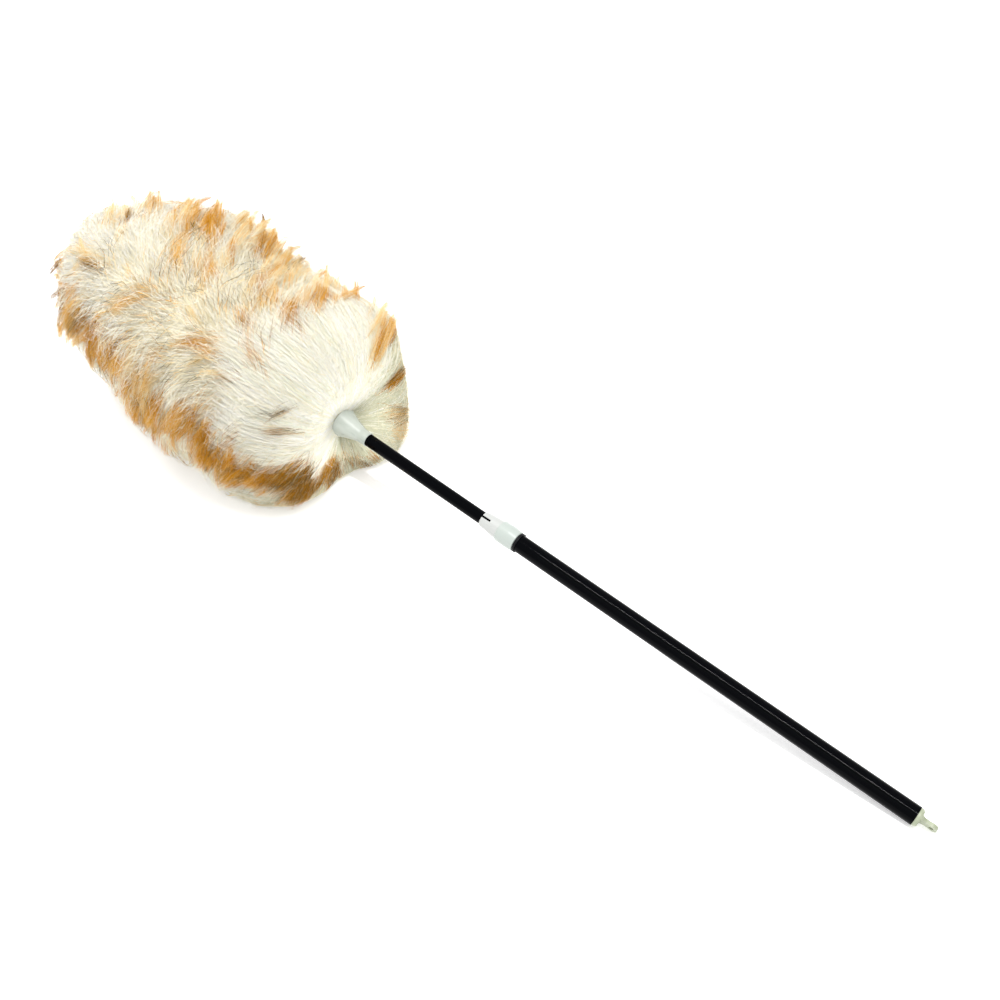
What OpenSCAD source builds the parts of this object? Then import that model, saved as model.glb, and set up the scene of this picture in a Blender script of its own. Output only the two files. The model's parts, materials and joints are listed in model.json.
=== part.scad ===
// Telescoping lambswool duster, lying on a surface.
// +X runs towards the hanging tab, +Z is up, and the surface is Z = 0.
// Inside the handle frame, x = 0 is the capped end of the grip tube and the
// head is at negative x. lying() sets that frame down on the surface.

/* [Grip tube] */
// Outside diameter of the grip tube, over its plastic skin
grip_d = 17.5; // [16:0.5:20]
// Length of the grip tube, from the cap to its mouth
grip_len = 411.5; // [340:0.5:500]
// Wall of both steel tubes
wall_t = 0.7; // [0.5:0.1:0.8]
// Thickness of the plastic skin on both tubes
skin_t = 0.45; // [0.3:0.05:0.5]

/* [Sliding tube] */
// Outside diameter of the sliding tube, over its plastic skin
slide_d = 12.7; // [12:0.1:12.8]
// Length of sliding tube that shows between the collar and the ferrule
shown_len = 146; // [140:1:200]
// How much further the head pulls out from here
travel_out = 170; // [100:5:180]

/* [Collar] */
// Length of the twist-lock nut
nut_len = 41; // [38:1:50]
// Largest radius of the nut's barrel
barrel_r = 10.8; // [10.5:0.1:12]
// Radius where the tapered nose meets the barrel
nose_r = 9.6; // [9.4:0.1:10]
// Length of the slot in the nose
slot_len = 10; // [6:1:12]
// Width of the slot in the nose
slot_w = 2.2; // [1.5:0.1:3]

/* [Ferrule] */
// Length of the ferrule's straight neck
neck_len = 9.5; // [8:0.5:14]
// Length of the ferrule's flare
flare_len = 26; // [24:1:34]
// Radius of the ferrule's wide end
flare_r = 15.5; // [14.5:0.5:19]

/* [Head] */
// Radius of the wool pile at its widest
pile_r = 116; // [100:1:125]
// Length of the pile behind its widest place, towards the handle
pile_rear_len = 183; // [150:1:200]
// Length of the pile in front of its widest place
pile_front_len = 257; // [220:1:300]
// How far the pile laps back over the ferrule
overlap_len = 44.5; // [40:0.5:50]
// Height of the handle's axis above the surface at the pile's widest place
rest_h = 87; // [78:1:95]

/* [End cap] */
// Thickness of the hanging tab
tab_t = 3.6; // [3:0.1:4]
// Radius of the tab's rounded end
tab_r = 5; // [4.6:0.1:5.5]
// Radius of the hanging hole
hang_r = 2.1; // [1.5:0.1:2.5]

/* [Hidden] */
$fn = 96;

// Clearances
gap = 0.3;          // between pieces that move past each other without a fit
running = 0.08;     // radial clearance of the sliding tube in the collet
cut_past = 1;       // how far a cutting solid runs past what it cuts

// Radii of the tubes
grip_r = grip_d / 2;
grip_steel_r = grip_r - skin_t;
grip_bore_r = grip_steel_r - wall_t;
slide_r = slide_d / 2;
slide_steel_r = slide_r - skin_t;
slide_bore_r = slide_steel_r - wall_t;

// Collet, fixed in the mouth of the grip tube
collet_flange_t = 2.5;
collet_flange_r = 9.8;
collet_plug_len = 25.5;
collet_neck_r = 8.2;
collet_neck_len = 15;
finger_len = 9;
finger_slit_w = 1.2;
finger_slit_len = 13;
finger_slits = 4;

// Nut
nut_bore_r = collet_neck_r + gap;
nut_front_r = slide_r + 0.85;
nut_wedge_len = 15;
nut_shoulder = 1.6;
nose_len = nut_len / 2;
slot_roll = 20;

// Places along the handle
tube_mouth = -grip_len;
collar_rear = tube_mouth - collet_flange_t;
nut_rear = collar_rear - gap;
nut_front = collar_rear - nut_len;
ferrule_rear = nut_front - shown_len;
flare_start = ferrule_rear - neck_len;
ferrule_wide = flare_start - flare_len;
core_shoulder = ferrule_wide + 12;
pile_rear = ferrule_wide + overlap_len;
pile_mid = pile_rear - pile_rear_len;
pile_front = pile_mid - pile_front_len;
core_end = pile_front + 65;
stop_front = tube_mouth + collet_plug_len + travel_out + gap;

// Core and the hide wound on it
core_r = 8;
spigot_len = 34;
hide_t = 2;
hide_r = core_r + hide_t;
strip_w = 30;
strip_pitch = 33;
strip_sides = 16;
strip_start = ferrule_wide + 5;
strip_clear = 0.06;
staple_wire = 0.9;
staple_span = 9;
staple_leg = 6;
staple_steps = [1, 6, 11];

// End fastening of the head
washer_r = 8;
washer_t = 1.2;
screw_head_r = 3.6;
screw_head_h = 2.2;
screw_shank_r = 1.6;
screw_len = 20;

// End cap
cap_plug_len = 18;
cap_plug_r = grip_bore_r - 1;
cap_rib_len = 2;
cap_ribs = 3;
cap_flange_t = 4;
cap_flange_r = grip_r - 0.3;
cap_flange_end_r = grip_r - 1.35;
web_r = 6.8;
web_fillet_r = 5;
tab_neck_r = 4;
tab_neck_x = 9;
tab_hole_x = 14.2;
tab_roll = 14;

// How the handle lies: its capped end touches the surface, the head is higher
lie = asin((rest_h - grip_r) / -pile_mid);
axis_h = grip_r * cos(lie);

// Outline of the pile, as [radius, place], a blunt rear and a rounder front
pile_steps = 14;
function pile_rear_at(k) = pile_rear_len * (1 - pow(1 - k, 2));
function pile_front_at(k) = pile_front_len * (1 - pow(1 - k, 2));
pile_rear_points = [
    for (i = [pile_steps : -1 : 1])
        let (d = pile_rear_at(i / pile_steps) / pile_rear_len)
            [pile_r * pow(1 - pow(d, 5), 1 / 2.2), pile_mid + d * pile_rear_len]
];
pile_front_points = [
    for (i = [0 : pile_steps])
        let (d = pile_front_at(i / pile_steps) / pile_front_len)
            [pile_r * pow(1 - pow(d, 3), 1 / 2), pile_mid - d * pile_front_len]
];
pile_outline = concat(pile_rear_points, pile_front_points);

// The origin is under the middle of the whole length
tab_end_x = tab_hole_x * cos(lie) + tab_r;
head_end_x = min([for (p = pile_outline) p[1] * cos(lie) - p[0] * sin(lie)]);
shift_x = -(tab_end_x + head_end_x) / 2;

module lying() {
    translate([shift_x, 0, axis_h]) rotate([0, lie, 0]) children();
}

// Revolves an outline of [radius, place along the handle] about the handle
module turned(outline) {
    rotate([0, 90, 0]) rotate_extrude() polygon(outline);
}

// A round bar along the handle between two places
module bar(from, to, r) {
    translate([from, 0, 0]) rotate([0, 90, 0]) cylinder(h = to - from, r = r);
}

// A pipe along the handle between two places
module pipe(from, to, r, bore) {
    difference() {
        bar(from, to, r);
        bar(from - cut_past, to + cut_past, bore);
    }
}

module outer_tube() {
    color("silver") lying() pipe(tube_mouth, 0, grip_steel_r, grip_bore_r);
}

module outer_skin() {
    color([0.03, 0.03, 0.035]) lying() pipe(tube_mouth, 0, grip_r, grip_steel_r);
}

module cap_plug() {
    bar(-cap_plug_len, 0, cap_plug_r);
    for (i = [1 : cap_ribs])
        let (x = -cap_plug_len * i / (cap_ribs + 0.5))
            bar(x, x + cap_rib_len, grip_bore_r);
}

module tab_shape() {
    difference() {
        union() {
            difference() {
                translate([cap_flange_t - 1, -web_r]) square([tab_neck_x - cap_flange_t + 1, 2 * web_r]);
                for (side = [-1, 1])
                    translate([tab_neck_x, side * (tab_neck_r + web_fillet_r)]) circle(r = web_fillet_r);
            }
            translate([tab_neck_x - 1, -tab_neck_r]) square([tab_hole_x - tab_neck_x, 2 * tab_neck_r]);
            translate([tab_hole_x, 0]) circle(r = tab_r);
        }
        translate([tab_hole_x, 0]) circle(r = hang_r);
    }
}

module end_cap() {
    color([0.86, 0.87, 0.78]) lying() {
        cap_plug();
        turned([
            [0, 0],
            [cap_flange_r, 0],
            [cap_flange_r, cap_flange_t / 2],
            [cap_flange_end_r, cap_flange_t],
            [0, cap_flange_t]
        ]);
        rotate([tab_roll, 0, 0]) rotate([90, 0, 0])
            translate([0, 0, -tab_t / 2]) linear_extrude(tab_t) tab_shape();
    }
}

// The nut's wedge and the fingers share one slope, gap apart
finger_start = collar_rear - collet_neck_len;
wedge_rear = finger_start;
wedge_slope = (nut_bore_r - slide_r - gap) / nut_wedge_len;

module collet() {
    finger_tip = finger_start - finger_len;
    finger_tip_r = collet_neck_r - finger_len * wedge_slope;
    color([0.05, 0.05, 0.055]) lying() difference() {
        turned([
            [slide_r + running, tube_mouth + collet_plug_len],
            [grip_bore_r, tube_mouth + collet_plug_len],
            [grip_bore_r, tube_mouth],
            [collet_flange_r, tube_mouth],
            [collet_flange_r, collar_rear],
            [collet_neck_r, collar_rear],
            [collet_neck_r, finger_start],
            [finger_tip_r, finger_tip],
            [slide_r + running, finger_tip]
        ]);
        for (i = [0 : finger_slits / 2 - 1])
            rotate([i * 360 / finger_slits, 0, 0])
                translate([finger_tip - cut_past, -collet_flange_r, -finger_slit_w / 2])
                    cube([finger_slit_len + cut_past, 2 * collet_flange_r, finger_slit_w]);
    }
}

module lock_nut() {
    nose_rear = nut_front + nose_len;
    barrel_len = nut_rear - nose_rear;
    color([0.92, 0.94, 0.92]) lying() difference() {
        turned([
            [nut_bore_r, nut_rear],
            [nose_r - nut_shoulder / 4, nut_rear],
            [nose_r + nut_shoulder / 4, nut_rear - nut_shoulder / 3],
            [barrel_r - 0.35, nut_rear - barrel_len * 0.22],
            [barrel_r, nut_rear - barrel_len * 0.45],
            [barrel_r - 0.2, nut_rear - barrel_len * 0.75],
            [nose_r + 0.7, nose_rear + 0.6],
            [nose_r, nose_rear],
            [nose_r - 0.5, nut_front + nose_len * 0.7],
            [nut_front_r + 0.3, nut_front + 0.5],
            [nut_front_r, nut_front],
            [slide_r + gap, nut_front],
            [slide_r + gap, wedge_rear - nut_wedge_len],
            [nut_bore_r, wedge_rear]
        ]);
        rotate([slot_roll, 0, 0])
            translate([nut_front - cut_past, -slot_w / 2, slide_r - cut_past])
                cube([slot_len + cut_past, slot_w, barrel_r]);
    }
}

module inner_tube() {
    color("silver") lying() pipe(core_shoulder, stop_front, slide_steel_r, slide_bore_r);
}

module inner_skin() {
    color([0.03, 0.03, 0.035]) lying() pipe(core_shoulder, stop_front, slide_r, slide_steel_r);
}

module stop_bushing() {
    head_len = 12;
    plug_len = 18;
    color([0.85, 0.85, 0.82]) lying() {
        bar(stop_front, stop_front + head_len, grip_bore_r - running / 2);
        bar(stop_front - plug_len, stop_front, slide_bore_r);
    }
}

module ferrule() {
    socket_end = flare_start - 6;
    neck_r = slide_r + 0.95;
    shell_t = 1.5;
    color([0.88, 0.91, 0.88]) lying() turned([
        [slide_r, ferrule_rear],
        [neck_r - 0.2, ferrule_rear],
        [neck_r, ferrule_rear - 0.4],
        [neck_r, flare_start],
        [neck_r + (flare_r - neck_r) * 0.44, flare_start - flare_len / 2],
        [flare_r, ferrule_wide + 0.7],
        [flare_r - 0.4, ferrule_wide],
        [flare_r - shell_t, ferrule_wide],
        [neck_r + 0.5, socket_end],
        [slide_r, socket_end]
    ]);
}

// Staples hold each end of the strip, on its centre line
module staple(step) {
    crown_x = strip_start - strip_w / 2 - step * strip_pitch / strip_sides - staple_span / 2;
    rotate([-step * 360 / strip_sides, 0, 0]) {
        translate([crown_x, -staple_wire / 2, hide_r])
            cube([staple_span, staple_wire, staple_wire]);
        for (leg_x = [crown_x, crown_x + staple_span - staple_wire])
            translate([leg_x, -staple_wire / 2, hide_r - staple_leg])
                cube([staple_wire, staple_wire, staple_leg]);
    }
}

module staples() {
    for (step = staple_steps) {
        staple(step);
        staple(strip_rings - step);
    }
}

module screw() {
    head_x = core_end - hide_t - washer_t;
    bar(head_x - screw_head_h, head_x, screw_head_r);
    bar(head_x, head_x + screw_len, screw_shank_r);
}

module core_rod() {
    color("burlywood") lying() difference() {
        union() {
            bar(core_end, core_shoulder, core_r);
            bar(core_shoulder, core_shoulder + spigot_len, slide_bore_r);
        }
        staples();
        screw();
    }
}

// The strip is swept round the core: one ring of four corners per step
strip_turns = (strip_start - core_end - strip_w) / strip_pitch;
strip_rings = floor(strip_turns * strip_sides);
strip_in_r = core_r / cos(180 / strip_sides) + strip_clear;
function strip_corner(i, r, w) =
    let (a = i * 360 / strip_sides)
        [strip_start - w - i * strip_pitch / strip_sides, r * sin(a), r * cos(a)];
strip_points = [
    for (i = [0 : strip_rings])
        for (c = [[strip_in_r, 0], [hide_r, 0], [hide_r, strip_w], [strip_in_r, strip_w]])
            strip_corner(i, c[0], c[1])
];
strip_sides_faces = [
    for (i = [0 : strip_rings - 1])
        for (k = [0 : 3])
            let (a = 4 * i + k, b = 4 * i + (k + 1) % 4)
                each [[a, b, b + 4], [a, b + 4, a + 4]]
];
strip_faces = concat(
    [[3, 2, 1, 0]],
    strip_sides_faces,
    [[for (k = [0 : 3]) 4 * strip_rings + k]]
);

module pelt_strip() {
    color([0.86, 0.78, 0.62]) lying() difference() {
        polyhedron(points = strip_points, faces = strip_faces, convexity = 10);
        staples();
    }
}

module pelt_staples() {
    color("silver") lying() staples();
}

module end_pelt() {
    color([0.86, 0.78, 0.62]) lying()
        pipe(core_end - hide_t, core_end, hide_r, screw_shank_r);
}

module end_washer() {
    color("silver") lying()
        pipe(core_end - hide_t - washer_t, core_end - hide_t, washer_r, screw_shank_r);
}

module end_screw() {
    color("silver") lying() screw();
}

// The pile: a dimple clears the ferrule, a blind bore clears the core
module wool_pile() {
    bore_r = hide_r + staple_wire + 0.6;
    dimple_r = flare_r + 0.7;
    rim_r = pile_r * 0.65;
    bore_end = core_end - hide_t - washer_t - screw_head_h - 1;
    color([0.95, 0.93, 0.85]) difference() {
        lying() difference() {
            turned(pile_outline);
            translate([ferrule_wide - 0.5, 0, 0]) rotate([0, 90, 0])
                cylinder(h = overlap_len + cut_past, r1 = dimple_r, r2 = rim_r);
            bar(bore_end, ferrule_wide, bore_r);
        }
        translate([-pile_front_len * 4, -2 * pile_r, -2 * pile_r])
            cube([pile_front_len * 8, 4 * pile_r, 2 * pile_r]);
    }
}

outer_tube();
outer_skin();
end_cap();
collet();
lock_nut();
inner_tube();
inner_skin();
stop_bushing();
ferrule();
core_rod();
pelt_strip();
pelt_staples();
end_pelt();
end_washer();
end_screw();
wool_pile();
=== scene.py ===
import json
import math
import bpy
import numpy as np
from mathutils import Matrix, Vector


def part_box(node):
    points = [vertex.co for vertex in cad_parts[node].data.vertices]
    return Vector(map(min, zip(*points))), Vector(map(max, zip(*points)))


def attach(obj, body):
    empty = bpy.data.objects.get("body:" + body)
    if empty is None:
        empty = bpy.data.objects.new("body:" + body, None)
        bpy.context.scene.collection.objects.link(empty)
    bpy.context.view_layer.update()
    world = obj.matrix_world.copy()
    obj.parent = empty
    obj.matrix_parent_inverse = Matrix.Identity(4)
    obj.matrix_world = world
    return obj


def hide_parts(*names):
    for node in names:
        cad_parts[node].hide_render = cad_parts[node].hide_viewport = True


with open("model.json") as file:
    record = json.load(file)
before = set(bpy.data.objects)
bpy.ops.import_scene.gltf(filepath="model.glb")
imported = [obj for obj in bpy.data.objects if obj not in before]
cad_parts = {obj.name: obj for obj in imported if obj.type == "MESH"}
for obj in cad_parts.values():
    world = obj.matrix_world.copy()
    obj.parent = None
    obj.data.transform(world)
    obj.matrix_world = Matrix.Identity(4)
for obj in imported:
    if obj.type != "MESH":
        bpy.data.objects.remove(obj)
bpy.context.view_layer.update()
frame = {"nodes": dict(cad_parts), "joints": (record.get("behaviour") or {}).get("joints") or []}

nodes = frame["nodes"]
joints = {j["name"]: j for j in frame["joints"]}

# ---------------------------------------------------------------- handle frame
# ALONG runs from the handle to the head, ABOVE is square to it and upwards,
# ACROSS is square to both. Places along the handle are metres from PIVOT.
ALONG = np.array(joints["head_slide"]["axis"], float)
PIVOT = np.array(joints["collar_twist"]["pos_m"], float)
ABOVE = np.array([ALONG[2], 0.0, -ALONG[0]])
ACROSS = np.array([0.0, -1.0, 0.0])


def corners(node):
    """A CAD node's vertices as an array."""
    mesh = nodes[node].data
    co = np.zeros(len(mesh.vertices) * 3)
    mesh.vertices.foreach_get("co", co)
    return co.reshape(-1, 3)


def span(node):
    """Where a CAD node starts and ends along the handle."""
    along = (corners(node) - PIVOT) @ ALONG
    return along.min(), along.max()


def at(along, radius=0.0, turn=0.0):
    """A point by its place along the handle, radius, and turn in radians from ABOVE towards ACROSS."""
    along, radius, turn = np.broadcast_arrays(along, radius, turn)
    return (
        PIVOT
        + along[..., None] * ALONG
        + (radius * np.cos(turn))[..., None] * ABOVE
        + (radius * np.sin(turn))[..., None] * ACROSS
    )


# ---------------------------------------------------------------------- camera
CAMERA_AZIMUTH = math.radians(38.50)
CAMERA_ELEVATION = math.radians(47.71)
CAMERA_DISTANCE = 1.131
CAMERA_LENS = 43.2
# The camera aims beside the handle, near the front of the collar.
AIM_ALONG = 0.0218
AIM_RIGHT = 0.0131
AIM_UP = 0.0194


def make_camera():
    sa, ca = math.sin(CAMERA_AZIMUTH), math.cos(CAMERA_AZIMUTH)
    se, ce = math.sin(CAMERA_ELEVATION), math.cos(CAMERA_ELEVATION)
    back = Vector((sa * ce, -ca * ce, se))
    right = Vector((ca, sa, 0))
    up = back.cross(right)
    aim = Vector(at(AIM_ALONG)) + right * AIM_RIGHT + up * AIM_UP
    data = bpy.data.cameras.new("camera")
    data.lens = CAMERA_LENS
    data.sensor_width = 36
    data.clip_start, data.clip_end = 0.05, 50
    camera = bpy.data.objects.new("camera", data)
    camera.location = aim + back * CAMERA_DISTANCE
    camera.rotation_mode = "QUATERNION"
    camera.rotation_quaternion = (-back).to_track_quat("-Z", "Y")
    bpy.context.scene.collection.objects.link(camera)
    bpy.context.scene.camera = camera


make_camera()


# ------------------------------------------------------------------- materials
class Shader:
    """A Principled material with short ways to add procedural detail."""

    def __init__(self, name, colour, roughness=0.5, **sockets):
        self.material = bpy.data.materials.new(name)
        self.material.use_nodes = True
        self.tree = self.material.node_tree
        self.main = self.tree.nodes["Principled BSDF"]
        self.main.inputs["Base Color"].default_value = (*colour, 1)
        self.main.inputs["Roughness"].default_value = roughness
        for socket, value in sockets.items():
            self.main.inputs[socket.replace("_", " ")].default_value = value

    def add(self, kind, inputs=None, **settings):
        """A new node; an input gets a constant, or a link where its value is another node's socket."""
        made = self.tree.nodes.new(kind)
        for key, value in settings.items():
            setattr(made, key, value)
        for key, value in (inputs or {}).items():
            self.feed(made.inputs[key], value)
        return made

    def feed(self, target, value):
        if isinstance(value, bpy.types.NodeSocket):
            self.tree.links.new(value, target)
        else:
            target.default_value = value

    def places(self, scale=(1, 1, 1), handle_frame=False):
        """Object coordinates, turned into the handle's own frame where asked."""
        vector = self.add("ShaderNodeTexCoord").outputs["Object"]
        if handle_frame:
            tilt = {"Vector": vector, "Angle": -math.asin(ALONG[2])}
            vector = self.add("ShaderNodeVectorRotate", tilt, rotation_type="Y_AXIS").outputs["Vector"]
        return self.add("ShaderNodeMapping", {"Vector": vector, "Scale": scale}).outputs["Vector"]

    def noise(self, vector, scale, detail=3.0, roughness=0.55):
        inputs = {"Vector": vector, "Scale": scale, "Detail": detail, "Roughness": roughness}
        return self.add("ShaderNodeTexNoise", inputs).outputs["Fac"]

    def spread(self, value, low, high, start=0.3, stop=0.7):
        """Maps a value between start and stop onto low to high."""
        inputs = {"Value": value, "From Min": start, "From Max": stop, "To Min": low, "To Max": high}
        return self.add("ShaderNodeMapRange", inputs).outputs["Result"]

    def colours(self, value, *stops):
        """Base colour from a ramp of (place, colour) stops."""
        made = self.add("ShaderNodeValToRGB", {"Fac": value})
        elements = made.color_ramp.elements
        while len(elements) < len(stops):
            elements.new(0.5)
        for element, (place, colour) in zip(elements, stops):
            element.position = place
            element.color = (*colour, 1)
        self.feed(self.main.inputs["Base Color"], made.outputs["Color"])

    def rough(self, value):
        self.feed(self.main.inputs["Roughness"], value)

    def bump(self, *layers):
        """Bump from (height, strength, distance in metres) layers, one on another."""
        under = {}
        for height, strength, distance in layers:
            inputs = {"Height": height, "Strength": strength, "Distance": distance, **under}
            under = {"Normal": self.add("ShaderNodeBump", inputs).outputs["Normal"]}
        self.feed(self.main.inputs["Normal"], under["Normal"])


def black_skin():
    """Extruded vinyl skin: faint draw lines along it, soft handling marks."""
    s = Shader("black_skin", (0.0007, 0.0009, 0.0014), Specular_IOR_Level=0.04)
    lines = s.noise(s.places((6, 420, 420), handle_frame=True), 1.0, 2.0)
    marks = s.noise(s.places((14, 60, 60), handle_frame=True), 1.0, 4.0)
    s.rough(s.spread(marks, 0.07, 0.11))
    s.bump((lines, 0.006, 0.0002), (marks, 0.004, 0.0006))
    return s.material


def black_plastic():
    """The collet's grained plastic."""
    s = Shader("black_plastic", (0.005, 0.005, 0.006), Specular_IOR_Level=0.12)
    grain = s.noise(s.places(), 900.0, 3.0)
    s.rough(s.spread(grain, 0.34, 0.5))
    s.bump((grain, 0.15, 0.0001))
    return s.material


def flow_marks(s, smooth, dull):
    """Flow marks and fine pores of moulded plastic, which run from smooth to dull."""
    flow = s.noise(s.places((30, 120, 120), handle_frame=True), 1.0, 3.0)
    pores = s.noise(s.places(), 1400.0, 2.0)
    s.rough(s.spread(flow, smooth, dull))
    s.bump((flow, 0.1, 0.0006), (pores, 0.1, 0.00008))
    return flow


def moulded(name, light, shade, roughness, clear):
    """Moulded pale plastic, slightly see-deep."""
    s = Shader(name, light, Subsurface_Weight=clear, Subsurface_Scale=0.004, IOR=1.49)
    s.main.inputs["Subsurface Radius"].default_value = (1.0, 1.0, 0.85)
    flow = flow_marks(s, roughness - 0.05, roughness + 0.09)
    s.colours(flow, (0.25, shade), (0.6, light))
    return s.material


def nut_plastic():
    """The nut's nose is whiter than its barrel; the greyer barrel is painted shade."""
    nose, barrel = (0.43, 0.44, 0.425), (0.385, 0.425, 0.395)
    s = Shader("nut_plastic", (0.52, 0.53, 0.51), IOR=1.49)
    place = s.add("ShaderNodeSeparateXYZ", {"Vector": s.places(handle_frame=True)}).outputs["X"]
    middle = -(sum(span("lock_nut")) / 2 + PIVOT @ ALONG)
    half_edge = 0.0008
    # Painted shade: the barrel half is coloured greyer than the nose.
    s.colours(s.spread(place, 0, 1, middle - half_edge, middle + half_edge), (0.0, nose), (1.0, barrel))
    flow_marks(s, 0.26, 0.4)
    return s.material


def steel():
    s = Shader("steel", (0.6, 0.61, 0.63), Metallic=1.0)
    drawn = s.noise(s.places((4, 700, 700), handle_frame=True), 1.0, 3.0)
    s.rough(s.spread(drawn, 0.24, 0.42))
    s.bump((drawn, 0.12, 0.0001))
    return s.material


def wood():
    s = Shader("wood", (0.62, 0.45, 0.28))
    grain = s.noise(s.places((7, 170, 170), handle_frame=True), 1.0, 5.0)
    s.colours(grain, (0.3, (0.5, 0.33, 0.18)), (0.5, (0.66, 0.48, 0.3)), (0.72, (0.74, 0.58, 0.39)))
    s.rough(s.spread(grain, 0.55, 0.72))
    s.bump((grain, 0.3, 0.0004))
    return s.material


def hide():
    s = Shader("hide", (0.72, 0.63, 0.48))
    patches = s.noise(s.places(), 70.0, 5.0)
    nap = s.noise(s.places(), 1200.0, 3.0)
    s.colours(patches, (0.3, (0.6, 0.5, 0.36)), (0.55, (0.75, 0.66, 0.5)), (0.75, (0.82, 0.75, 0.62)))
    s.rough(s.spread(nap, 0.75, 0.95))
    s.bump((nap, 0.4, 0.0004))
    return s.material


# Tints of wool as linear colours, the pale ones first
WOOL_TINTS = {
    "snow": (0.95, 0.94, 0.90),
    "ivory": (0.94, 0.91, 0.79),
    "cream": (0.93, 0.87, 0.66),
    # This green-grey tint is painted shade by the ferrule, and a streaked tone in the ruff.
    "sage_and_shade": (0.87, 0.90, 0.76),
    # This darker olive tint is painted shade for the hanging side of the ruff.
    "moss_shade": (0.66, 0.65, 0.47),
    "straw": (0.90, 0.77, 0.48),
    "tan": (0.86, 0.61, 0.26),
    "gold": (0.79, 0.42, 0.06),
    "amber": (0.58, 0.24, 0.01),
    "brown": (0.29, 0.13, 0.014),
    "umber": (0.13, 0.09, 0.03),
}
TINT_NAMES = list(WOOL_TINTS)
TINT = {name: i for i, name in enumerate(TINT_NAMES)}


def wool_tint(name):
    """Pale wool has a soft shine; the coloured tips have nearly none, so that they keep their colour."""
    pale = TINT[name] <= TINT["straw"]
    s = Shader("wool_" + name, WOOL_TINTS[name], 0.82, Specular_IOR_Level=0.2 if pale else 0.06)
    s.main.inputs["Sheen Weight"].default_value = 0.2 if pale else 0.0
    return s.material


def under_wool():
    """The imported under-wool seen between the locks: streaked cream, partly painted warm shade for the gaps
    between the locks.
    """
    s = Shader("under_wool", WOOL_TINTS["ivory"], 0.9, Sheen_Weight=0.3, Specular_IOR_Level=0.2)
    streaks = s.noise(s.places((90, 90, 90)), 1.0, 6.0, 0.7)
    s.colours(streaks, (0.3, (0.88, 0.82, 0.62)), (0.5, (0.93, 0.88, 0.70)), (0.7, WOOL_TINTS["ivory"]))
    s.rough(s.spread(streaks, 0.8, 0.98))
    s.bump((streaks, 0.8, 0.004))
    return s.material


def dress_cad_nodes():
    skin, metal, sheepskin = black_skin(), steel(), hide()
    ferrule_white = moulded("white_plastic", (0.47, 0.505, 0.46), (0.39, 0.43, 0.385), 0.3, 0.1)
    cap_cream = moulded("cream_plastic", (0.36, 0.39, 0.28), (0.25, 0.285, 0.185), 0.32, 0.05)
    finishes = {
        "outer_skin": skin,
        "inner_skin": skin,
        "outer_tube": metal,
        "inner_tube": metal,
        "collet": black_plastic(),
        "lock_nut": nut_plastic(),
        "ferrule": ferrule_white,
        "stop_bushing": ferrule_white,
        "end_cap": cap_cream,
        "core_rod": wood(),
        "pelt_strip": sheepskin,
        "end_pelt": sheepskin,
        "pelt_staples": metal,
        "end_washer": metal,
        "end_screw": metal,
    }
    for name, material in finishes.items():
        mesh = nodes[name].data
        mesh.materials.clear()
        mesh.materials.append(material)


dress_cad_nodes()

# ----------------------------------------------------------- shape of the head
PILE_REAR, PILE_FRONT = span("wool_pile")
FERRULE_WIDE = span("ferrule")[1]
CORE_FRONT = span("core_rod")[1]
PILE_LOW, PILE_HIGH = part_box("wool_pile")
PILE_RADIUS = (PILE_HIGH.y - PILE_LOW.y) / 2
# The head is widest here
PILE_MIDDLE = PILE_REAR + 0.416 * (PILE_FRONT - PILE_REAR)
FERRULE_RADIUS = (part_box("ferrule")[1].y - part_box("ferrule")[0].y) / 2
HIDE_RADIUS = (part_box("end_pelt")[1].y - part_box("end_pelt")[0].y) / 2

# The wool is parted along this side of the head, and combed away from it.
PARTING = math.radians(34)
PROFILE_STEPS = 240
# The ferrule's cone: the radius where its flare starts, and how long the flare is
NECK_RADIUS = 0.0073
FLARE_LENGTH = 0.026
# Room in front of the outline for tips that stand out of it
FRONT_ROOM = 0.014
# Radius over which the dimple at the ferrule blends into the rear
DIMPLE_SOFTNESS = 0.006


def profile(rear_end, dimple_slope, lap):
    """Outline of the head from the ferrule over the rear to the far end, evenly spaced.

    The wool laps back over the ferrule's flare by lap. Returns places along, radii and the length."""
    flare = (FERRULE_RADIUS - NECK_RADIUS) / FLARE_LENGTH
    front_len, rear_len = PILE_FRONT - FRONT_ROOM - PILE_MIDDLE, PILE_MIDDLE - rear_end
    radius = np.linspace(FERRULE_RADIUS + 0.001 - lap * flare, PILE_RADIUS * 0.999, PROFILE_STEPS)
    rear = PILE_MIDDLE - rear_len * (1 - (radius / PILE_RADIUS) ** 2.2) ** 0.2
    dimple = FERRULE_WIDE - lap - (radius - radius[0]) * dimple_slope
    rear = DIMPLE_SOFTNESS * np.logaddexp(rear / DIMPLE_SOFTNESS, dimple / DIMPLE_SOFTNESS)
    ahead = np.sin(np.linspace(0, math.pi / 2, PROFILE_STEPS))
    along = np.concatenate([rear, PILE_MIDDLE + ahead * front_len])
    across = np.concatenate([radius, PILE_RADIUS * np.sqrt(np.maximum(1 - ahead**3, 0))])
    length = np.concatenate([[0], np.cumsum(np.hypot(np.diff(along), np.diff(across)))])
    even = np.linspace(0, length[-1], PROFILE_STEPS)
    return np.interp(even, length, along), np.interp(even, length, across), length[-1]


# The rear of the head is flat on the parted side and hangs back on the other.
PARTED = profile(PILE_REAR + 0.018, 0.36, 0)
HANGING = profile(PILE_REAR - 0.016, 0.5, 0.012)
PROFILE_LENGTH = (PARTED[2] + HANGING[2]) / 2
LUMPS = [
    # (size, waves along the profile, waves round, phase)
    (0.016, 2.2, 1, 0.6),
    (0.014, 3.1, -2, 2.1),
    (0.014, 5.3, 3, 4.4),
    (0.012, 7.9, -4, 1.2),
    (0.010, 12.7, 5, 3.3),
    (0.008, 17.1, -7, 5.2),
]
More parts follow.
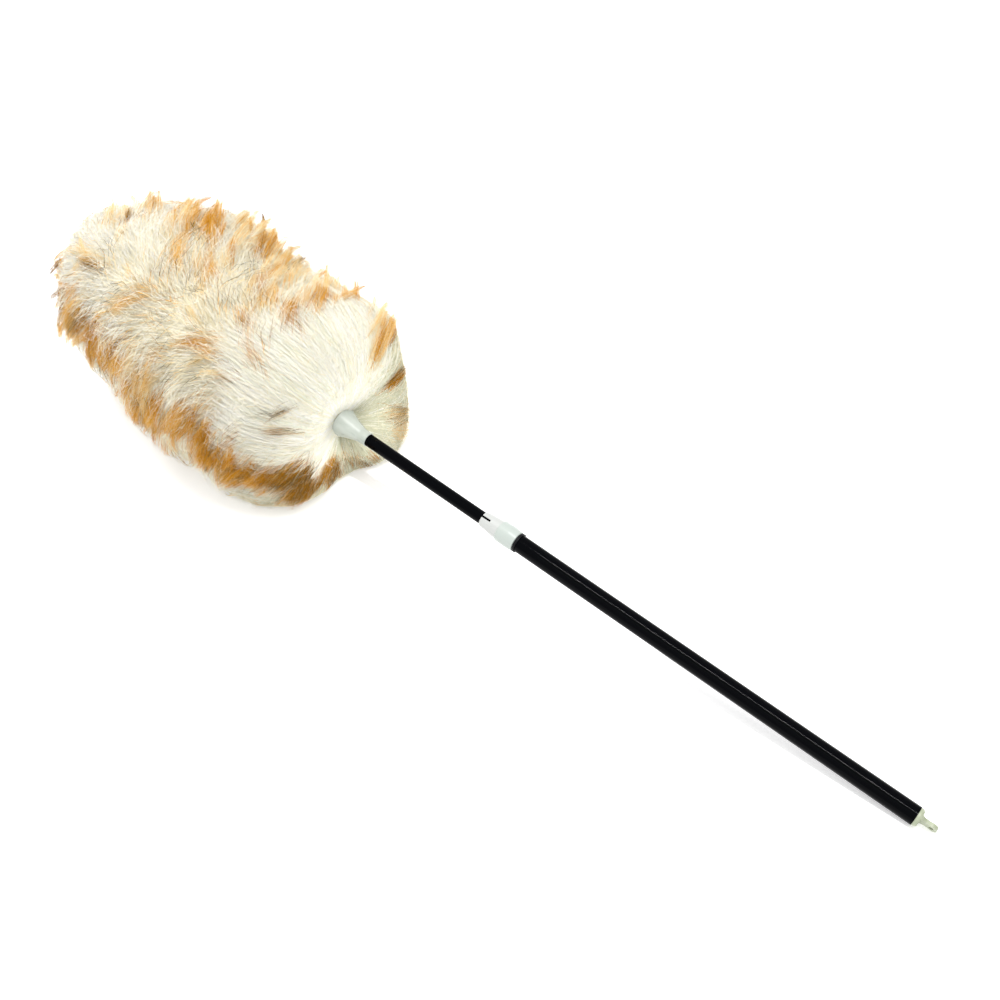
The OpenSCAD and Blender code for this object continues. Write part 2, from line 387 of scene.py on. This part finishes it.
# Wool lower than this is pressed flatter, and spreads sideways by this share
FLOOR_SOFTNESS = 0.012
FLOOR_SPREAD = 0.22
# How far wool may stand out of the solid head's box
STAND_OUT = 0.0155


def bump(value, middle, width):
    return np.exp(-(((value - middle) / width) ** 2))


def facing(off, middle, width):
    """A bump round the head, its middle and width in degrees from the parting."""
    return bump(off, math.radians(middle), math.radians(width))


def away(turn):
    """The angle from the parting, from -pi to pi."""
    return (turn - PARTING + math.pi) % (2 * math.pi) - math.pi


def outer(w, turn):
    """A point of the head's outside: w from 0 at the ferrule to 1 at the far end."""
    off = away(turn)
    hanging = (1 - np.cos(off)) / 2
    hanging = hanging * (1 - 0.8 * facing(off, 132, 30))
    hanging = hanging * (1 - 0.85 * facing(off, -110, 32))
    even = np.linspace(0, 1, PROFILE_STEPS)
    along, radius = (
        (1 - hanging) * np.interp(w, even, PARTED[i]) + hanging * np.interp(w, even, HANGING[i]) for i in (0, 1)
    )
    swell = np.interp(w, [0, 0.24, 0.34, 0.6, 0.75, 1], [1, 1, 0.96, 0.94, 0.91, 0.91])
    swell = swell + 0.05 * bump(w, 0.6, 0.12) * facing(off, -80, 35)
    swell = swell + 0.10 * bump(w, 0.44, 0.2) * facing(off, 100, 38)
    for size, waves, round_waves, phase in LUMPS:
        swell = swell + size * np.sin(2 * math.pi * waves * w + round_waves * turn + phase)
    return along, radius * swell


def core_at(w):
    """Where on the core the wool of that part of the outside grows."""
    return FERRULE_WIDE + 0.004 + np.clip(w * 1.15 - 0.1, 0, 1) * (CORE_FRONT - FERRULE_WIDE - 0.006)


def settle(points):
    """The wool spreads where it rests: nothing goes under the surface it lies on."""
    low = np.maximum(FLOOR_SOFTNESS - points[..., 2], 0)
    points[..., 1] += np.sign(points[..., 1]) * FLOOR_SPREAD * low
    points[..., 2] = np.where(low > 0, FLOOR_SOFTNESS * np.exp(-low / FLOOR_SOFTNESS), points[..., 2])
    np.clip(points[..., 1], PILE_LOW.y - STAND_OUT, PILE_HIGH.y + STAND_OUT, out=points[..., 1])
    np.minimum(points[..., 2], PILE_HIGH.z + STAND_OUT, out=points[..., 2])
    return points


def inside(w, turn, depth):
    """A point between the core, depth 0, and the head's outside, depth 1."""
    along, radius = outer(w, turn)
    start = core_at(w)
    return settle(at(start + depth * (along - start), depth * radius, turn))


# ------------------------------------------------------------------ under-wool
# How deep the shell lies, where it ends, and its room in front of the core and round the hide
UNDER_DEPTH = 0.89
UNDER_END = 0.985
CORE_ROOM = 0.008
HIDE_ROOM = 0.0015


def make_mesh(name, points, faces):
    mesh = bpy.data.meshes.new(name)
    mesh.from_pydata([tuple(p) for p in points], [], faces)
    mesh.update()
    made = bpy.data.objects.new(name, mesh)
    bpy.context.scene.collection.objects.link(made)
    return made


def make_under_wool():
    """A closed shell inside the locks, with a bore for the core."""
    rings, sides = 90, 120
    turns = np.linspace(0, 2 * math.pi, sides, endpoint=False)
    bore = HIDE_RADIUS + HIDE_ROOM
    layers = [at(CORE_FRONT + CORE_ROOM, bore, turns), at(FERRULE_WIDE, bore, turns)]
    for w in np.linspace(0, UNDER_END, rings):
        layers.append(inside(np.full(sides, w), turns, UNDER_DEPTH))
    points = np.concatenate(layers)
    faces = []
    for i in range(len(layers) - 1):
        for k in range(sides):
            a, b = i * sides + k, i * sides + (k + 1) % sides
            faces.append((a, b, b + sides, a + sides))
    last = (len(layers) - 1) * sides
    faces.append(tuple(range(sides))[::-1])
    faces.append(tuple(range(last, last + sides)))
    made = make_mesh("under_wool", points, faces)
    made.data.materials.append(under_wool())
    made.data.shade_smooth()
    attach(made, "extension")
    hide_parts("wool_pile")


make_under_wool()

# --------------------------------------------------------------------- strands
RANDOM = np.random.default_rng(41)
STRAND_SIDES = 3
MOST_FACES_A_PIECE = 190000
wool_materials = [wool_tint(name) for name in TINT_NAMES]

# Wool stops short of the very end, and lies every way there
FAR_END = 0.986
# Lengths round the head are turned into angles as if its radius were never less than this
LEAST_RADIUS = 0.045


def tousled(w):
    """Random turn of the way wool lies, strong only at the far end."""
    return RANDOM.normal(0, 1.3, len(w)) * np.clip((w - 0.84) / 0.1, 0, 1)


def round_radius(w, turn):
    return np.maximum(outer(w, turn)[1], LEAST_RADIUS)


def comb_angle(w, turn):
    """Which way wool lies: 0 straight round the head, 90 degrees straight to the far end."""
    off = away(turn)
    lean = 0.31 - 0.16 * np.sin(off)
    lean = lean + (0.95 - lean) * facing(off, 0, 23)
    at_ends = np.clip(1.25 - w / 0.32, 0, 1) + np.clip((w - 0.72) / 0.2, 0, 1)
    lean = lean + (1 - lean) * np.clip(at_ends, 0, 1)
    return np.arcsin(np.clip(lean, -1, 1))


def combed(w, turn, reach, swerve):
    """Where a strand rooted at (w, turn), this long over the surface, ends up."""
    off = away(turn)
    side = np.where(off >= 0, 1.0, -1.0)
    angle = comb_angle(w, turn) + swerve * side
    w_end = w + np.sin(angle) * reach / PROFILE_LENGTH
    turn_end = turn + side * np.cos(angle) * reach / round_radius(w, turn)
    return np.clip(w_end, 0.004, FAR_END), turn_end


def paths(w, turn, w_end, turn_end, root_depth, tip_depth, curl, rings, rise=2.4, waves=(0.6, 1.4)):
    """Centre lines of strands, [strand, ring, xyz]: out of the core, then laid over the surface.

    rise sets how soon they reach the depth of their tips, curl how far they wave, in metres."""
    t = np.linspace(0, 1, rings)[None, :]
    swing = t**1.25
    depth = root_depth[:, None] + (tip_depth - root_depth)[:, None] * (1 - (1 - t) ** rise)
    ws = w[:, None] + (w_end - w)[:, None] * swing
    turns = turn[:, None] + (turn_end - turn)[:, None] * swing
    phase = RANDOM.uniform(0, 2 * math.pi, (len(w), 1, 2))
    count = RANDOM.uniform(*waves, (len(w), 1, 2))
    wiggle = np.sin(2 * math.pi * count * t[..., None] + phase) - np.sin(phase)
    wiggle = wiggle * curl[:, None, None] * t[..., None]
    waved_w = np.clip(ws + wiggle[..., 0] / PROFILE_LENGTH, 0.002, 0.998)
    return inside(waved_w, turns + wiggle[..., 1] / round_radius(ws, turns), depth)


def gathered(lines, leaders, share):
    """Strands drawn towards their lock's own line near the tip."""
    t = np.linspace(0, 1, lines.shape[1])[None, :, None]
    pull = share[:, None, None] * t**1.4
    return lines * (1 - pull) + leaders * pull


def tubes(lines, width):
    """Three-sided tapering tubes round the centre lines, as a [strand, ring, side, xyz] array."""
    ahead = np.gradient(lines, axis=1)
    ahead /= np.maximum(np.linalg.norm(ahead, axis=2, keepdims=True), 1e-9)
    side = np.cross(ahead, RANDOM.normal(size=(len(lines), 1, 3)))
    side /= np.maximum(np.linalg.norm(side, axis=2, keepdims=True), 1e-9)
    other = np.cross(ahead, side)
    t = np.linspace(0, 1, lines.shape[1])[None, :]
    girth = width[:, None] / 2 * (1 - 0.86 * np.maximum(t - 0.1, 0) ** 1.5)
    rings = []
    for k in range(STRAND_SIDES):
        a = 2 * math.pi * k / STRAND_SIDES
        rings.append(lines + girth[..., None] * (math.cos(a) * side + math.sin(a) * other))
    return np.stack(rings, axis=2)


def strand_faces(rings):
    """The faces of one strand, and which segment each is on."""
    faces, segments = [tuple(range(STRAND_SIDES))[::-1]], [0]
    for ring in range(rings - 1):
        for k in range(STRAND_SIDES):
            a, b = ring * STRAND_SIDES + k, ring * STRAND_SIDES + (k + 1) % STRAND_SIDES
            faces.append((a, b, b + STRAND_SIDES, a + STRAND_SIDES))
            segments.append(ring)
    tip = (rings - 1) * STRAND_SIDES
    faces.append(tuple(range(tip, tip + STRAND_SIDES)))
    segments.append(rings - 2)
    return faces, segments


def make_strands(name, lines, width, tints):
    """Meshes of strands; tints holds each strand's tint on each segment."""
    shapes = tubes(lines, width)
    faces, segments = strand_faces(lines.shape[1])
    triangles = sum(len(face) - 2 for face in faces)
    most = MOST_FACES_A_PIECE // triangles
    for i in range(math.ceil(len(shapes) / most)):
        some = slice(i * most, (i + 1) * most)
        build_piece(f"{name}_{i + 1:02d}", shapes[some], tints[some], faces, segments)


def build_piece(name, shapes, tints, faces, segments):
    strands, each = len(shapes), shapes.shape[1] * STRAND_SIDES
    corner = np.array([c for face in faces for c in face])
    size = np.tile([len(face) for face in faces], strands)
    loops = (corner[None, :] + (np.arange(strands) * each)[:, None]).ravel()
    mesh = bpy.data.meshes.new(name)
    mesh.vertices.add(strands * each)
    mesh.vertices.foreach_set("co", shapes.reshape(-1).astype(np.float32))
    mesh.loops.add(len(loops))
    mesh.loops.foreach_set("vertex_index", loops.astype(np.int32))
    mesh.polygons.add(len(size))
    mesh.polygons.foreach_set("loop_start", np.concatenate([[0], np.cumsum(size)[:-1]]).astype(np.int32))
    used = np.unique(tints)
    for index in used:
        mesh.materials.append(wool_materials[index])
    local = np.searchsorted(used, tints)
    mesh.polygons.foreach_set("material_index", local[:, segments].ravel().astype(np.int32))
    mesh.update(calc_edges=True)
    mesh.shade_smooth()
    made = bpy.data.objects.new(name, mesh)
    bpy.context.scene.collection.objects.link(made)
    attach(made, "extension")


def scatter(count, w_low, w_high=0.99, likely=None):
    """Roots spread evenly over the head's surface, or as likely(w, off) from 0 to 1 says."""
    spots = []
    while sum(len(s[0]) for s in spots) < count:
        w = RANDOM.uniform(w_low, w_high, count * 2)
        turn = RANDOM.uniform(0, 2 * math.pi, count * 2)
        chance = np.maximum(outer(w, turn)[1], 0.02) / (PILE_RADIUS * 1.15)
        if likely is not None:
            chance = chance * likely(w, away(turn))
        keep = RANDOM.uniform(size=count * 2) < chance
        spots.append((w[keep], turn[keep]))
    return np.concatenate([s[0] for s in spots])[:count], np.concatenate([s[1] for s in spots])[:count]


def nearest_lock(w, turn, lock_w, lock_turn):
    """The nearest lock to each strand, on the surface."""
    spots, own = inside(lock_w, lock_turn, 1.0), inside(w, turn, 1.0)
    nearest = np.empty(len(w), int)
    at_once = 4000
    for start in range(0, len(w), at_once):
        part = own[start:start + at_once]
        gaps = (part**2).sum(1)[:, None] - 2 * part @ spots.T + (spots**2).sum(1)[None, :]
        nearest[start:start + at_once] = gaps.argmin(1)
    return nearest


# ------------------------------------------------------------------- pale wool
COVER_STRANDS, RUFF_STRANDS, FUZZ_STRANDS = 72000, 26000, 12000
COVER_LOCKS = 1900
COVER_RINGS = 5
RUFF_RINGS = 6
FUZZ_RINGS = 5
COVER_RISE = 1.6
# Wool reaches less far towards the far end: places along the head, and shares of its reach
REACH_AT = [0.1, 0.8, 0.93], [1, 0.9, 0.5]


def pale_tints(w, turn, rings):
    """Tints of white wool: whiter at the far end, greener by the ferrule, where the green-grey strands are
    painted shade; creamier at the roots and far round from the parting, partly painted warm shade.
    """
    mood = np.interp(w, [0, 0.2, 0.4, 0.7, 1], [1.3, 1.2, 1.5, 0.7, 0.4])
    mood = mood + RANDOM.normal(0, 0.6, len(w))
    # Painted warm shade: wool far round from the parting, on the back and underneath, gets creamier tints.
    mood = mood + 0.7 * np.clip((np.abs(away(turn)) - 1.2) / 0.8, 0, 1)
    tint = np.clip(np.round(mood), 0, 2).astype(int)
    # Painted shade: by the ferrule some strands take the green-grey tint.
    tint[(w < 0.2) & (RANDOM.uniform(size=len(w)) < 0.4)] = TINT["sage_and_shade"]
    tints = np.repeat(tint[:, None], rings - 1, axis=1)
    # The root segments, deep in the wool where shade falls, are cream: partly painted warm shade.
    tints[:, : rings // 2 - 1] = TINT["cream"]
    tipped = RANDOM.uniform(size=len(w)) < 0.1
    tints[tipped, -1] = RANDOM.choice([TINT["straw"], TINT["tan"]], tipped.sum())
    return tints


def make_cover():
    """Pale wool over the whole head, in loose locks."""
    w, turn = scatter(COVER_STRANDS, 0.12)
    lock_w, lock_turn = scatter(COVER_LOCKS, 0.12)
    nearest = nearest_lock(w, turn, lock_w, lock_turn)
    swerve = RANDOM.normal(0, 0.28, len(lock_w)) + tousled(lock_w)
    reach = RANDOM.uniform(0.036, 0.060, len(lock_w)) * np.interp(lock_w, *REACH_AT)
    lift = RANDOM.normal(1.0, 0.012, len(lock_w))
    none = np.zeros(len(lock_w))
    end_w, end_turn = combed(lock_w, lock_turn, reach, swerve)
    leaders = paths(
        lock_w, lock_turn, end_w, end_turn, none + 0.74, lift + 0.012, none, COVER_RINGS, COVER_RISE
    )
    own_reach = reach[nearest] * RANDOM.uniform(0.75, 1.15, len(w))
    own_swerve = swerve[nearest] + RANDOM.normal(0, 0.14, len(w))
    end_w, end_turn = combed(w, turn, own_reach, own_swerve)
    lines = paths(
        w, turn, end_w, end_turn, RANDOM.uniform(0.70, 0.86, len(w)),
        lift[nearest] + RANDOM.normal(0, 0.014, len(w)), RANDOM.uniform(0, 0.003, len(w)),
        COVER_RINGS, COVER_RISE,
    )
    lines = gathered(lines, leaders[nearest], RANDOM.uniform(0.0, 0.45, len(w)))
    width = RANDOM.uniform(0.00032, 0.0006, len(w))
    make_strands("wool_cover", lines, width, pale_tints(w, turn, COVER_RINGS))


def ruff_end(turn):
    """How far the long wool at the ferrule reaches over the head."""
    off = away(turn)
    return 0.265 + 0.02 * np.sin(3 * off + 1) + 0.015 * np.sin(7 * off + 2.5) - 0.02 * np.sin(off)


def streaked_tints(turn, rings):
    """Tints of the ruff: soft streaks that run out from the ferrule, duller on the hanging side, where most
    strands get a darker olive tint as painted shade.
    """
    count = len(turn)
    streaks = np.sin(23 * turn + 1) * np.sin(41 * turn + 2) + 0.6 * np.sin(67 * turn)
    mood = 1.0 + 0.9 * streaks + RANDOM.normal(0, 0.5, count)
    tint = np.clip(np.round(mood), 0, 2).astype(int)
    tint[(streaks > 0.5) & (RANDOM.uniform(size=count) < 0.5)] = TINT["sage_and_shade"]
    hanging = np.clip((np.abs(away(turn)) - math.radians(70)) / math.radians(35), 0, 1)
    # Painted shade: most strands on the hanging side take the darker olive tint.
    tint[RANDOM.uniform(size=count) < 0.85 * hanging] = TINT["moss_shade"]
    tints = np.repeat(tint[:, None], rings - 1, axis=1)
    tipped = RANDOM.uniform(size=count) < 0.22 * hanging
    tints[tipped, -2] = TINT["straw"]
    tints[tipped, -1] = TINT["tan"]
    return tints


def make_ruff():
    """Long smooth wool that radiates from the ferrule over the rear of the head."""
    count = RUFF_STRANDS
    turn = RANDOM.uniform(0, 2 * math.pi, count)
    w = RANDOM.uniform(0.004, 0.12, count)
    end_w = ruff_end(turn) * RANDOM.uniform(0.6, 1.18, count)
    end_turn = turn + RANDOM.normal(0, 0.09, count) + 0.05 * np.sin(5 * turn)
    lines = paths(
        w, turn, end_w, end_turn, RANDOM.uniform(0.8, 0.97, count), RANDOM.normal(1.012, 0.012, count),
        RANDOM.uniform(0, 0.004, count), RUFF_RINGS,
    )
    width = RANDOM.uniform(0.0003, 0.0006, count) + 0.0004 * (RANDOM.uniform(size=count) < 0.1)
    make_strands("wool_ruff", lines, width, streaked_tints(turn, RUFF_RINGS))


# ----------------------------------------------------------------- tipped wool
LOCK_RINGS = 7
LOCK_RISE = 1.05
STRANDS_A_LOCK = 52
SCATTERED_LOCKS = 380
# From the ferrule up to here, locks of the lower flank lie flatter
FLAT_UNTIL = 0.66
# Tints from the root of a strand to its tip
PEACH = ["ivory", "ivory", "ivory", "cream", "straw", "tan"]
HONEY = ["ivory", "ivory", "cream", "straw", "tan", "gold"]
ORANGE = ["cream", "straw", "tan", "gold", "gold", "amber"]
RUST = ["straw", "tan", "gold", "gold", "amber", "amber"]
OLIVE = ["cream", "straw", "tan", "brown", "brown", "umber"]
LOCK_TINTS = np.array([[TINT[n] for n in row] for row in (PEACH, HONEY, ORANGE, RUST, OLIVE)])
# Kinds are 0 peach, 1 honey, 2 orange, 3 rust and 4 olive
PATCHES = [
    # (w, degrees from the parting, spread in w, spread in degrees, kind of lock, locks)
    (0.73, -60, 0.012, 3, 1, 7),
    (0.77, -38, 0.015, 3, 0, 3),
    (0.58, -54, 0.030, 5, 2, 12),
    (0.47, -33, 0.015, 2, 2, 4),
    (0.55, -30, 0.015, 3, 1, 4),
    (0.48, -78, 0.025, 5, 1, 10),
    (0.38, -62, 0.030, 6, 0, 8),
    (0.27, -34, 0.010, 2, 3, 5),
    (0.34, -38, 0.020, 3, 1, 4),
    (0.33, -21, 0.012, 2, 3, 3),
    (0.26, -6, 0.014, 2, 3, 3),
    (0.27, -57, 0.012, 4, 2, 8),
    (0.19, -70, 0.020, 7, 1, 6),
    (0.41, 10, 0.010, 2, 2, 3),
    (0.60, 20, 0.030, 3, 1, 4),
    (0.70, 52, 0.012, 3, 2, 6),
    (0.64, 53, 0.020, 4, 2, 8),
    (0.57, 52, 0.020, 4, 2, 9),
    (0.50, 54, 0.020, 4, 1, 8),
    (0.45, 46, 0.020, 3, 1, 6),
    (0.47, 68, 0.020, 4, 2, 8),
    (0.40, 58, 0.020, 4, 2, 9),
    (0.35, 54, 0.020, 4, 2, 9),
    (0.31, 61, 0.018, 5, 3, 26),
    (0.25, 66, 0.018, 5, 3, 30),
    (0.20, 64, 0.014, 4, 3, 18),
    (0.16, 62, 0.014, 5, 4, 16),
    (0.14, 84, 0.016, 8, 4, 30),
    (0.08, 98, 0.014, 9, 4, 10),
    (0.19, 25, 0.012, 3, 4, 3),
    (0.19, -88, 0.014, 5, 2, 5),
    (0.14, -116, 0.012, 4, 4, 4),
    (0.10, -146, 0.010, 6, 4, 2),
    (0.11, -158, 0.020, 10, 0, 5),
    (0.10, 150, 0.010, 8, 4, 5),
    (0.09, 122, 0.015, 6, 4, 5),
]


def tipped_likely(w, off):
    """Where more locks with coloured tips end: both flanks, underneath and the far end."""
    past_ruff = np.clip((w - 0.2) / 0.06, 0, 1)
    upper = facing(off, -78, 28) * past_ruff
    upper = upper * (1 - 0.5 * np.clip((w - 0.6) / 0.1, 0, 1))
    lower = facing(off, 62, 14) * past_ruff
    under = facing(np.abs(off), 180, 55) * 0.7
    end = bump(w, 0.8, 0.07) * 0.3
    return np.clip(np.maximum.reduce([upper * 0.8, lower * 0.6, under, end]) + 0.035, 0, 1)


def lock_kinds(w, off):
    """Which tints each lock has: peach and honey mostly, with orange and rust below."""
    low = facing(off, 62, 30)
    end = np.clip((w - 0.6) / 0.1, 0, 1)
    peach, honey = 1.2 - 0.8 * low + end, 0.8 - 0.4 * end
    orange, rust, olive = (0.3 + low) * (1 - 0.8 * end), (0.12 + low) * (1 - end), 0.2 + 0.6 * end
    weights = np.stack([peach, honey, orange, rust, olive], axis=1)
    weights = weights.cumsum(axis=1) / weights.sum(axis=1, keepdims=True)
    return (RANDOM.uniform(size=(len(w), 1)) > weights).sum(axis=1)


def make_tipped():
    """Pointed locks whose tips are tan, golden, orange or brown."""
    end_w, end_turn = scatter(SCATTERED_LOCKS, 0.2, 0.96, tipped_likely)
    kind = lock_kinds(end_w, away(end_turn))
    for w, off, spread_w, spread_off, patch_kind, count in PATCHES:
        end_w = np.append(end_w, w + RANDOM.normal(0, spread_w, count))
        end_off = math.radians(off) + RANDOM.normal(0, math.radians(spread_off), count)
        end_turn = np.append(end_turn, PARTING + end_off)
        shade = RANDOM.choice([-1, 0, 1], count, p=[0.25, 0.6, 0.15])
        kind = np.append(kind, np.clip(patch_kind + shade, 0, 4))
    locks = len(end_w)
    off = away(end_turn)
    reach = RANDOM.uniform(0.045, 0.075, locks)
    reach = reach * np.interp(end_w, [0.04, 0.2, 0.8, 0.93], [0.5, 1, 0.9, 0.5])
    side = np.where(off >= 0, 1.0, -1.0)
    angle = comb_angle(end_w, end_turn) + RANDOM.normal(0, 0.25, locks) * side + tousled(end_w)
    radius = round_radius(end_w, end_turn)
    w = np.clip(end_w - np.sin(angle) * reach / PROFILE_LENGTH, 0.01, FAR_END)
    turn = end_turn - side * np.cos(angle) * reach / radius
    flank = np.clip(facing(np.abs(off), 80, 32) + bump(end_w, 0.85, 0.1), 0, 1)
    flank = flank * np.where((off > 0) & (end_w < FLAT_UNTIL), 0.2, 1.0)
    low = facing(off, 62, 20) * (end_w < FLAT_UNTIL)
    tip_depth = 1.01 + 0.03 * low + RANDOM.uniform(0, 0.03, locks) + flank * RANDOM.uniform(0.02, 0.14, locks)
    over_ruff = bump(end_w, 0.3, 0.06) * facing(off, 0, 45)
    tip_depth = tip_depth + 0.03 * over_ruff + 0.03 * (end_w < 0.18)
    none = np.zeros(locks)
    leaders = paths(w, turn, end_w, end_turn, none + 0.78, tip_depth, none + 0.002, LOCK_RINGS, LOCK_RISE)
    width = RANDOM.uniform(0.005, 0.011, locks) * (1 - 0.4 * flank)

    own = np.repeat(np.arange(locks), STRANDS_A_LOCK)
    count = len(own)
    spread_w = RANDOM.normal(0, 1, count) * width[own] / PROFILE_LENGTH
    spread_turn = RANDOM.normal(0, 1, count) * width[own] / radius[own]
    shortness = RANDOM.uniform(0.62, 1.1, count)
    lines = paths(
        np.clip(w[own] + spread_w, 0.01, FAR_END), turn[own] + spread_turn,
        np.clip(w[own] + (end_w - w)[own] * shortness + spread_w * 0.6, 0.01, FAR_END),
        turn[own] + (end_turn - turn)[own] * shortness + spread_turn * 0.6,
        RANDOM.uniform(0.72, 0.84, count), tip_depth[own] + RANDOM.normal(0, 0.014, count),
        RANDOM.uniform(0.0005, 0.003, count), LOCK_RINGS, LOCK_RISE,
    )
    share = 0.1 + 0.3 * np.maximum(flank, 0.6 * low)[own] * (end_w[own] > 0.23)
    lines = gathered(lines, leaders[own], share + RANDOM.uniform(0, 0.45, count))
    own_kind = np.clip(kind[own] + RANDOM.choice([-1, 0, 1], count, p=[0.25, 0.6, 0.15]), 0, 4)
    palest_share = np.where(kind[own] >= 2, 0.08, 0.25)
    own_kind = np.where(RANDOM.uniform(size=count) < palest_share, 0, own_kind)
    shift = RANDOM.integers(-1, 2, count)
    segment = np.clip(np.arange(LOCK_RINGS - 1)[None, :] + shift[:, None], 0, LOCK_RINGS - 2)
    tints = LOCK_TINTS[own_kind[:, None], segment]
    make_strands("wool_tipped", lines, RANDOM.uniform(0.00026, 0.00045, count), tints)


def make_wisps():
    """Fine dark wavy strands, a few together, lying on the pale wool."""
    groups, each = 170, 6
    group_w, group_turn = scatter(groups, 0.24, 0.96, lambda w, off: 0.25 + 0.75 * facing(off, 0, 60))
    own = np.repeat(np.arange(groups), each)
    count = len(own)
    w = np.clip(group_w[own] + RANDOM.normal(0, 0.008, count), 0.2, 0.97)
    turn = group_turn[own] + RANDOM.normal(0, 0.05, count)
    reach = RANDOM.uniform(0.022, 0.045, groups)[own] * RANDOM.uniform(0.7, 1.1, count)
    swerve = RANDOM.normal(0, 0.5, groups)[own] + RANDOM.normal(0, 0.15, count)
    end_w, end_turn = combed(w, turn, reach, swerve)
    lines = paths(
        w, turn, end_w, end_turn, RANDOM.uniform(0.985, 1.01, count), RANDOM.uniform(1.03, 1.06, count),
        RANDOM.uniform(0.001, 0.004, count), LOCK_RINGS, COVER_RISE, (0.8, 2.2),
    )
    dark = np.array([[TINT[n] for n in row] for row in (
        ["cream", "straw", "tan", "umber", "umber", "umber"],
        ["cream", "straw", "tan", "gold", "brown", "umber"],
        ["cream", "straw", "gold", "brown", "brown", "brown"],
    )])
    kind = RANDOM.integers(0, 3, groups)[own]
    make_strands("wool_wisps", lines, RANDOM.uniform(0.0004, 0.0006, count), dark[kind])


def make_fuzz():
    """Short fine wool standing off the outside."""
    count = FUZZ_STRANDS
    w, turn = scatter(count, 0.05, 0.99)
    reach = RANDOM.uniform(0.008, 0.022, count)
    end_w, end_turn = combed(w, turn, reach, RANDOM.normal(0, 0.9, count))
    lines = paths(
        w, turn, end_w, end_turn, RANDOM.uniform(0.96, 0.99, count), RANDOM.uniform(1.02, 1.075, count),
        RANDOM.uniform(0.001, 0.004, count), FUZZ_RINGS, 1.3,
    )
    width = RANDOM.uniform(0.00035, 0.00055, count)
    make_strands("wool_fuzz", lines, width, pale_tints(w, turn, FUZZ_RINGS))


make_cover()
make_ruff()
make_tipped()
make_wisps()
make_fuzz()

# ------------------------------------------------------------- floor and light
FLOOR_HALF = 8.0
# A little of the floor's own light keeps it evenly pale
FLOOR_GLOW = 0.33
ROOM_LIGHT = 0.97
# Sizes in metres and powers in watts: the strip draws a thin line of light along the grip
STRIP_SIZE, STRIP_POWER = (0.9, 0.010), 13
KEY_SIZE, KEY_POWER = (1.0, 1.0), 24


def make_floor():
    square = [(x * FLOOR_HALF, y * FLOOR_HALF, 0) for x, y in ((-1, -1), (1, -1), (1, 1), (-1, 1))]
    made = make_mesh("floor", square, [(0, 1, 2, 3)])
    floor = Shader("floor", (0.93, 0.93, 0.93), 0.9, Specular_IOR_Level=0.1)
    floor.main.inputs["Emission Color"].default_value = (1, 1, 1, 1)
    floor.main.inputs["Emission Strength"].default_value = FLOOR_GLOW
    made.data.materials.append(floor.material)


def make_light(name, place, aim, size, power):
    data = bpy.data.lights.new(name, "AREA")
    data.shape = "RECTANGLE"
    data.size, data.size_y = size
    data.energy = power
    made = bpy.data.objects.new(name, data)
    made.location = place
    made.rotation_euler = (Vector(aim) - Vector(place)).to_track_quat("-Z", "Y").to_euler()
    bpy.context.scene.collection.objects.link(made)


def make_lights():
    world = bpy.data.worlds.new("world")
    world.use_nodes = True
    background = world.node_tree.nodes["Background"]
    background.inputs["Color"].default_value = (1, 1, 1, 1)
    background.inputs["Strength"].default_value = ROOM_LIGHT
    bpy.context.scene.world = world
    over = Vector(at(-0.12)) + Vector((0.12, -0.08, 1.3))
    make_light("strip", over, over - Vector((0, 0, 1)), STRIP_SIZE, STRIP_POWER)
    make_light("key", (-1.5, 0.1, 1.7), at(0.35), KEY_SIZE, KEY_POWER)


make_floor()
make_lights()
bpy.context.scene.view_settings.view_transform = "Standard"
